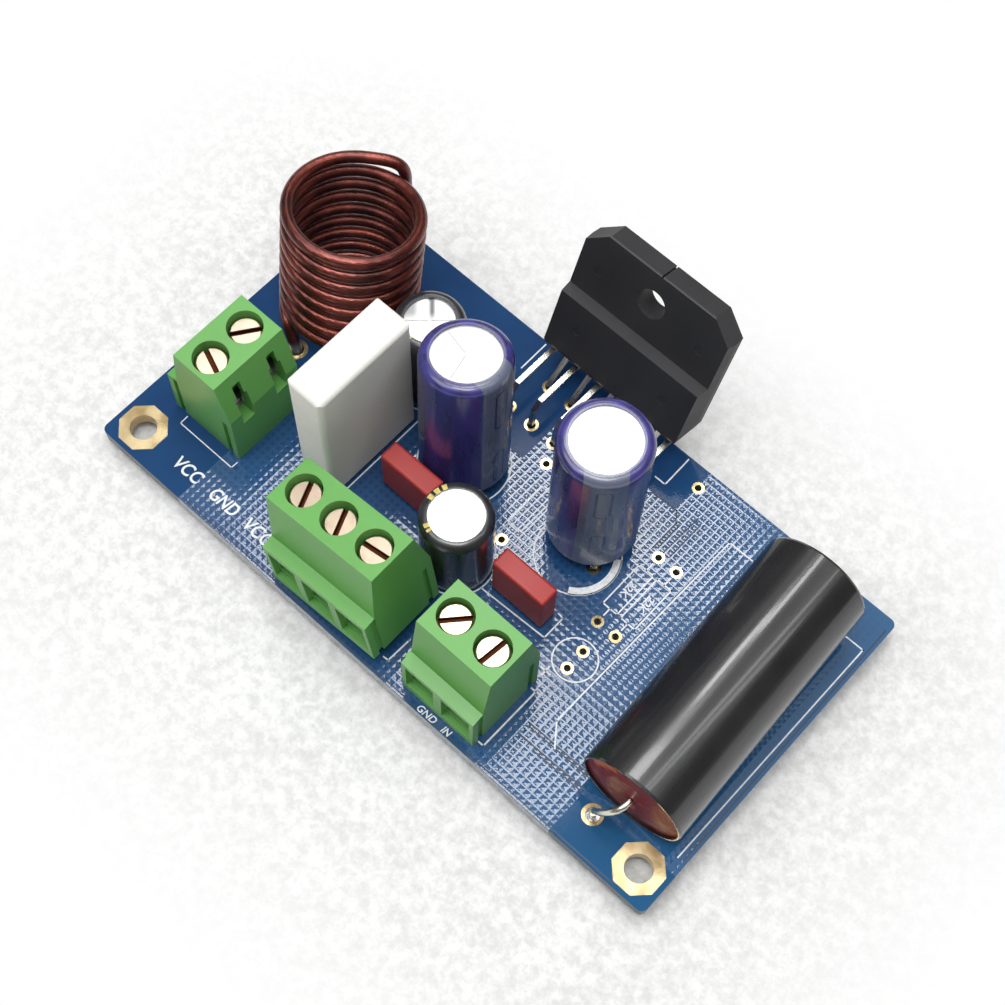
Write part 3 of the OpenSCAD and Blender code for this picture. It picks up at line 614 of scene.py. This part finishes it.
def mesh_object(bm, name, material):
    mesh = bpy.data.meshes.new(name)
    bm.to_mesh(mesh)
    bm.free()
    obj = bpy.data.objects.new(name, mesh)
    link(obj)
    obj.data.materials.append(material)
    return obj


def piece(bm, name, material):
    """Turns a bmesh into a named piece that rides on the board."""
    bmesh.ops.recalc_face_normals(bm, faces=bm.faces[:])
    obj = mesh_object(bm, name, material)
    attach(obj, BODY)


def ring(bm, x, y, z, r_in, r_out, height, steps=32, corners=0):
    """Flat ring with a hole; with corners, its rim is a polygon of that many sides."""
    rim = bmesh.ops.create_circle(bm, cap_ends=False, segments=steps, radius=r_out)["verts"]
    if corners:
        half = math.pi / corners
        for v in rim:
            a = (math.atan2(v.co.y, v.co.x) + half) % (2 * half) - half
            v.co *= 1.0 / math.cos(a)
    hole = bmesh.ops.create_circle(bm, cap_ends=False, segments=steps, radius=r_in)["verts"]
    edges = {e for v in rim + hole for e in v.link_edges}
    face = bmesh.ops.bridge_loops(bm, edges=list(edges))["faces"]
    raised = bmesh.ops.extrude_face_region(bm, geom=face)["geom"]
    top = [g for g in raised if isinstance(g, bmesh.types.BMVert)]
    bmesh.ops.translate(bm, verts=top, vec=(0, 0, height * MM))
    bmesh.ops.scale(bm, verts=rim + hole + top, vec=(MM, MM, 1.0))
    bmesh.ops.translate(bm, verts=rim + hole + top, vec=at(x, y, z))


def bar(bm, a, b, width, height):
    """Flat line from a to b on the board."""
    a, b = Vector(a), Vector(b)
    run = b - a
    turn = Matrix.Rotation(math.atan2(run.y, run.x), 4, "Z")
    middle = (a + b) / 2
    made = bmesh.ops.create_cube(bm, size=1.0)["verts"]
    bmesh.ops.scale(bm, verts=made, vec=((run.length + width) * MM, width * MM, height * MM))
    bmesh.ops.transform(bm, verts=made, matrix=turn)
    bmesh.ops.translate(bm, verts=made, vec=at(middle.x, middle.y, height / 2))


def arc(bm, centre, radius, width, height, start=0, sweep=360, z=0.0):
    """Flat arc: a small upright rectangle spun round the centre."""
    steps = max(ARC_MIN_STEPS, int(sweep / ARC_STEP))
    half = width / 2
    corners = [bm.verts.new(((radius + off) * MM, 0.0, rise * MM))
               for off, rise in ((-half, 0), (half, 0), (half, height), (-half, height))]
    profile = bm.faces.new(corners)
    turn = Matrix.Rotation(math.radians(start), 3, "Z")
    bmesh.ops.rotate(bm, verts=corners, cent=(0, 0, 0), matrix=turn)
    before = set(bm.verts)
    geom = [profile] + list(profile.edges) + corners
    bmesh.ops.spin(bm, geom=geom, cent=(0, 0, 0), axis=(0, 0, 1), angle=math.radians(sweep),
                   steps=steps, use_merge=sweep >= 360, use_duplicate=False)
    made = [v for v in bm.verts if v not in before] + [v for v in corners if v.is_valid]
    bmesh.ops.translate(bm, verts=made, vec=at(*centre, z))


# pads: radius of the hole and of the pad
LEG_PAD, CHIP_PAD, EMPTY_PAD = (0.42, 0.8), (0.52, 0.85), (0.4, 0.72)
FILM_PAD, COIL_PAD = (0.8, 1.2), (0.88, 1.35)
PAD_H = 0.03


def through_holes():
    """Place and pad radii of every hole with a pad, apart from the mounting holes."""
    two_legged = ((TALL_1, WIDE_GAP), (TALL_2_FEET, WIDE_GAP), (SHORT, NARROW_GAP), (SMALL, NARROW_GAP),
                  (BOX_1, WIDE_GAP), (BOX_2, WIDE_GAP))
    for (x, y), gap in two_legged:
        for side in (-gap / 2, gap / 2):
            yield x + side, y, *LEG_PAD
    for count, y in CHIP_ROWS:
        for i in range(count):
            yield BOARD_L / 2 + (2 * i - count + 1) * CHIP_PITCH, y, *CHIP_PAD
    for side in (-LAMP_GAP / 2, LAMP_GAP / 2):
        yield LAMP_MIDDLE[0], LAMP_MIDDLE[1] + side, *EMPTY_PAD
    for x in RESISTOR_XS:
        for side in (-RESISTOR_SPAN / 2, RESISTOR_SPAN / 2):
            yield x, RESISTOR_Y + side, *EMPTY_PAD
    for spot in SINGLE_HOLES:
        yield *spot, *EMPTY_PAD
    yield *FILM_FOOT, *FILM_PAD
    for foot in COIL_FEET:
        yield *foot, *COIL_PAD


bm = bmesh.new()
for x, y, r_in, r_out in through_holes():
    ring(bm, x, y, 0.0, r_in, r_out, PAD_H)
    ring(bm, x, y, -BOARD_T, r_in, r_out, -PAD_H)
piece(bm, "pad_rings", gold)

# the mounting holes: eight-sided pads on both faces, and a plated wall between them
CORNER_PAD, CORNER_SIDES, CORNER_STEPS = (1.6, 2.72), 8, 64
CORNER_WALL = (1.55, 1.598)
bm = bmesh.new()
for x in (HOLE_INSET, BOARD_L - HOLE_INSET):
    ring(bm, x, HOLE_INSET, 0.0, *CORNER_PAD, PAD_H, CORNER_STEPS, CORNER_SIDES)
    ring(bm, x, HOLE_INSET, -BOARD_T, *CORNER_PAD, -PAD_H, CORNER_STEPS, CORNER_SIDES)
    ring(bm, x, HOLE_INSET, -BOARD_T, *CORNER_WALL, BOARD_T, CORNER_STEPS)
piece(bm, "corner_pads", gold)

# white print: thickness, and widths of its lines
PRINT_H, PRINT_W, THIN_W, WIDE_W = 0.02, 0.17, 0.13, 0.2
RESISTOR_HALF_W, RESISTOR_HALF_L, RESISTOR_STUB = 1.0, 3.05, 1.0
PLUS, PLUS_HALF = (55.6, 12.6), 0.6
TALL_2_RING = (49.2, 25.05)
OUTLINES = [
    # film capacitor, ceramic resistor
    (PRINT_W, [(78.9, 6.9), (79.1, 37.55), (60.6, 37.45), (60.15, 9.3), (62.0, 6.9)]),
    (PRINT_W, [(25.25, 11.2), (25.25, 25.3)]),
    # terminal blocks, from the left
    (THIN_W, [(5.9, 7.6), (5.93, 6.51), (14.07, 6.55), (14.1, 7.4)]),
    (PRINT_W, [(41.9, 2.05), (42.5, 2.1), (42.6, 5.0)]),
    (WIDE_W, [(55.7, 2.04), (56.33, 2.06), (56.4, 10.15), (55.8, 10.16)]),
    # second red box, the chip's two ends, the spare part in the middle
    (PRINT_W, [(44.2, 14.9), (53.0, 15.3), (53.0, 18.3), (52.3, 18.4)]),
    (PRINT_W, [(49.4, 37.96), (50.8, 37.97), (50.75, 42.1)]),
    (PRINT_W, [(29.2, 37.96), (29.2, 42.1)]),
    (PRINT_W, [(41.0, 22.55), (42.85, 22.57), (42.9, 28.6), (40.9, 28.6), (41.0, 22.55)]),
    # plus sign beside the small lamp
    (WIDE_W, [(PLUS[0] - PLUS_HALF, PLUS[1]), (PLUS[0] + PLUS_HALF, PLUS[1])]),
    (WIDE_W, [(PLUS[0], PLUS[1] - PLUS_HALF), (PLUS[0], PLUS[1] + PLUS_HALF)]),
]
for x in RESISTOR_XS:
    left, right = x - RESISTOR_HALF_W, x + RESISTOR_HALF_W
    low, high = RESISTOR_Y - RESISTOR_HALF_L, RESISTOR_Y + RESISTOR_HALF_L
    OUTLINES += [(PRINT_W, [(left, low), (left, high), (right, high), (right, low), (left, low)]),
                 (PRINT_W, [(x, low - RESISTOR_STUB), (x, low)]),
                 (PRINT_W, [(x, high), (x, high + RESISTOR_STUB)])]
# printed circles: middle and radius
CIRCLES = [(LAMP_MIDDLE, 2.5), (TALL_2_RING, 4.87), (TALL_1, 5.3), (SHORT, 4.3), (SMALL, 4.3)]
# filled band inside the second tall capacitor's ring: radius, width, start and sweep
BAND_R, BAND_W, BAND_START, BAND_SWEEP = 4.45, 0.9, -62, 96

bm = bmesh.new()
for width, corners in OUTLINES:
    for a, b in zip(corners, corners[1:]):
        bar(bm, a, b, width, PRINT_H)
for centre, radius in CIRCLES:
    arc(bm, centre, radius, PRINT_W, PRINT_H)
arc(bm, TALL_2_RING, BAND_R, BAND_W, PRINT_H, BAND_START, BAND_SWEEP)
piece(bm, "white_lines", print_white)

# generic words: text, place of the first corner, width, height and turn
WORDS = [("VCC", 9.0, 2.3, 3.8, 1.6, 0), ("GND", 14.65, 2.3, 3.85, 1.6, 0), ("VCC", 20.0, 2.3, 3.8, 1.6, 0),
         ("GND", 48.4, 0.15, 2.5, 0.8, 0), ("IN", 51.9, 0.15, 1.1, 0.8, 0),
         ("22K", 55.55, 26.8, 2.2, 0.9, -90), ("22K", 58.1, 26.8, 2.2, 0.9, -90)]
# slant, boldness and thickness of the letters before they are scaled
SLANT, BOLD, RELIEF = 0.18, 0.016, 0.5
SAME_PLACE = 0.0001 * MM


def letters(text):
    """The mesh of a text, lying at the origin."""
    curve = bpy.data.curves.new("white_words", "FONT")
    curve.body = text
    curve.shear = SLANT
    curve.offset = BOLD
    curve.extrude = RELIEF
    setter = bpy.data.objects.new("white_words", curve)
    mesh = bpy.data.meshes.new_from_object(setter)
    bpy.data.objects.remove(setter)
    return mesh


def lettering(words):
    """Printed words, each scaled to its width and height and turned about its first corner."""
    bm = bmesh.new()
    for text, x, y, width, height, turn in words:
        mesh = letters(text)
        before = set(bm.verts)
        bm.from_mesh(mesh)
        bpy.data.meshes.remove(mesh)
        made = [v for v in bm.verts if v not in before]
        low = Vector([min(v.co[i] for v in made) for i in range(3)])
        high = Vector([max(v.co[i] for v in made) for i in range(3)])
        size = high - low
        scale = (width * MM / size.x, height * MM / size.y, PRINT_H * MM / size.z)
        bmesh.ops.translate(bm, verts=made, vec=-low)
        bmesh.ops.scale(bm, verts=made, vec=scale)
        bmesh.ops.rotate(bm, verts=made, cent=(0, 0, 0), matrix=Matrix.Rotation(math.radians(turn), 3, "Z"))
        bmesh.ops.translate(bm, verts=made, vec=at(x, y))
    bmesh.ops.remove_doubles(bm, verts=bm.verts[:], dist=SAME_PLACE)
    return bm


piece(lettering(WORDS), "white_words", print_white)

# dark gaps beside the copper tracks, and along the front and right edges of the pour
GAP_W, EDGE_GAP_W, GAP_H = 0.16, 0.14, 0.008
GAPS = [((58.2, 7.2), (66.5, 7.3)), ((58.5, 6.85), (66.8, 6.98)), ((58.6, 5.55), (67.2, 5.75)),
        ((60.5, 5.2), (67.2, 5.35)), ((54.75, 31.6), (54.75, 35.2)), ((55.2, 31.6), (55.2, 35.2)),
        ((56.0, 31.6), (56.2, 37.3)), ((56.85, 31.6), (56.9, 36.8)), ((50.58, 36.23), (53.79, 36.42)),
        ((53.79, 36.42), (54.75, 35.2))]
EDGE_GAPS = [((13.0, 0.34), (76.0, 0.34)), ((79.55, 7.0), (79.55, 41.0))]
bm = bmesh.new()
for width, gaps in ((GAP_W, GAPS), (EDGE_GAP_W, EDGE_GAPS)):
    for a, b in gaps:
        bar(bm, a, b, width, GAP_H)
piece(bm, "track_lines", gap_paint)

# gold dashes on the short capacitor's lip: start and sweep of each
LIP_R, LIP_Z, DASH_W, DASH_H = 3.32, 12.0, 0.62, 0.015
DASHES = [(150, 9), (165, 10), (181, 10), (240, 8), (252, 5)]
bm = bmesh.new()
for start, sweep in DASHES:
    arc(bm, SHORT, LIP_R, DASH_W, DASH_H, start, sweep, LIP_Z)
piece(bm, "gold_dashes", print_gold)


# floor, light and camera

FLOOR_HALF = 3000.0
# the floor keeps the shadow inside this box, and fades to plain white around it
SHADE_MIDDLE, SHADE_HALF, SHADE_FADE = (38.0, 16.0), (38.0, 19.0), (4.0, 34.0)


def floor_paper():
    """Rough white paper; away from the board, what sees it directly finds plain white."""
    m, tree, shader, place = new_finish("floor_paper", Roughness=0.7)
    crumb = speckle(tree, place, scale=900.0, detail=4.0, rough=0.65)
    colour = tint(tree, ease(tree, crumb, 0.3, 0.7), (0.58, 0.58, 0.57), (0.76, 0.76, 0.755))
    feed(tree, shader.inputs["Base Color"], colour)
    bump(tree, shader, crumb, depth=0.0004, strength=0.6)
    outside = []
    for place_on, middle, half in zip(split(tree, place), at(*SHADE_MIDDLE), SHADE_HALF):
        off = maths(tree, "ABSOLUTE", maths(tree, "SUBTRACT", place_on, middle))
        outside.append(maths(tree, "MAXIMUM", maths(tree, "SUBTRACT", off, half * MM), 0.0))
    away = ease(tree, diagonal(tree, *outside), *(edge * MM for edge in SHADE_FADE))
    path = put(tree, "ShaderNodeLightPath").outputs
    seen = fold(tree, "MAXIMUM", path["Is Camera Ray"], path["Is Glossy Ray"], path["Is Transmission Ray"])
    white = put(tree, "ShaderNodeEmission")
    mixed = put(tree, "ShaderNodeMixShader")
    feed(tree, mixed.inputs[0], maths(tree, "MULTIPLY", seen, away))
    feed(tree, mixed.inputs[1], shader.outputs[0])
    feed(tree, mixed.inputs[2], white.outputs[0])
    out = next(n for n in tree.nodes if n.type == "OUTPUT_MATERIAL")
    tree.links.new(mixed.outputs[0], out.inputs["Surface"])
    return m


bm = bmesh.new()
bmesh.ops.create_grid(bm, x_segments=1, y_segments=1, size=FLOOR_HALF * MM)
bmesh.ops.translate(bm, verts=bm.verts[:], vec=(0, 0, FLOOR_Z))
floor = mesh_object(bm, "floor", floor_paper())

# sky brightness at the horizon, between and overhead, and the heights where it changes
SKY_LOW, SKY_MIDDLE, SKY_TOP = 1.0, 0.1, 0.95
HORIZON_FADE, OVERHEAD_FADE = (0.02, 0.06), (0.6, 0.88)


def studio_sky():
    world = bpy.data.worlds.new("studio")
    bpy.context.scene.world = world
    world.use_nodes = True
    tree = world.node_tree
    tree.nodes.clear()
    height = split(tree, put(tree, "ShaderNodeTexCoord").outputs["Generated"])[2]
    horizon = ease(tree, height, *HORIZON_FADE, SKY_LOW, SKY_MIDDLE)
    overhead = ease(tree, height, *OVERHEAD_FADE, SKY_MIDDLE, SKY_TOP)
    sky = put(tree, "ShaderNodeBackground")
    sky.inputs["Color"].default_value = (1, 1, 1, 1)
    feed(tree, sky.inputs["Strength"], maths(tree, "MAXIMUM", horizon, overhead))
    tree.links.new(sky.outputs[0], put(tree, "ShaderNodeOutputWorld").inputs["Surface"])


studio_sky()

# soft rectangular lights: place, what each looks at, width and length, brightness
LAMPS = {
    "front_soft_light": ((-48, 94, 353), (-48, 94, 0), (146, 38), 11.0),
    "middle_soft_light": ((-54, 153, 353), (-54, 153, 0), (46, 40), 15.0),
    "back_soft_light": ((-11, 179, 353), (-11, 179, 0), (38, 38), 15.0),
    "far_left_light": ((-189, 307, 341), (32, 26, 19), (120, 120), 3.5),
    "left_key": ((-120, -160, 380), (40, 20, 0), (260, 220), 3.1),
    "overhead_soft_light": ((60, -25, 353), (55, 5, 0), (180, 110), 8.5),
    "right_strip": ((150, 110, 353), (72, 22, 0), (20, 260), 4.5),
    "far_right_strip": ((188, 110, 345), (72, 22, 0), (20, 260), 4.5),
}
for name, (place, aim, (width, length), brightness) in LAMPS.items():
    data = bpy.data.lights.new(name, "AREA")
    data.shape = "RECTANGLE"
    data.size, data.size_y = width * MM, length * MM
    data.energy = brightness * math.pi * data.size * data.size_y
    lamp = bpy.data.objects.new(name, data)
    lamp.location = at(*place)
    lamp.rotation_euler = (at(*aim) - lamp.location).to_track_quat("-Z", "Y").to_euler()
    link(lamp)

# the photo's camera: turn, height and roll in degrees, and its distance from a place on the board
AZIMUTH, ELEVATION, ROLL = 38.83, 66.81, 3.79
CAMERA_LOOK, CAMERA_FAR = (42, 22), 192.1
# its picture in pixels: side, focal length, and the point that the lens looks straight at
PICTURE_PX, FOCAL_PX, LENS_X_PX, LENS_Y_PX = 1005.0, 1746.0, 510.5, 531.4
SENSOR, NEAR_CLIP = 36.0, 5.0

az, el, roll = (math.radians(v) for v in (AZIMUTH, ELEVATION, ROLL))
back = Vector((math.sin(az) * math.cos(el), -math.cos(az) * math.cos(el), math.sin(el)))
right = Vector((math.cos(az), math.sin(az), 0.0))
up = back.cross(right)
across = right * math.cos(roll) + up * math.sin(roll)
upright = up * math.cos(roll) - right * math.sin(roll)
data = bpy.data.cameras.new("camera")
data.sensor_width = SENSOR
data.lens = FOCAL_PX * SENSOR / PICTURE_PX
data.shift_x = (PICTURE_PX / 2 - LENS_X_PX) / PICTURE_PX
data.shift_y = (LENS_Y_PX - PICTURE_PX / 2) / PICTURE_PX
data.clip_start = NEAR_CLIP * MM
camera = bpy.data.objects.new("camera", data)
turn = Matrix((across, upright, back)).transposed().to_4x4()
camera.matrix_world = Matrix.Translation(at(*CAMERA_LOOK) + back * CAMERA_FAR * MM) @ turn
link(camera)
bpy.context.scene.camera = camera
bpy.context.scene.view_settings.view_transform = "Standard"
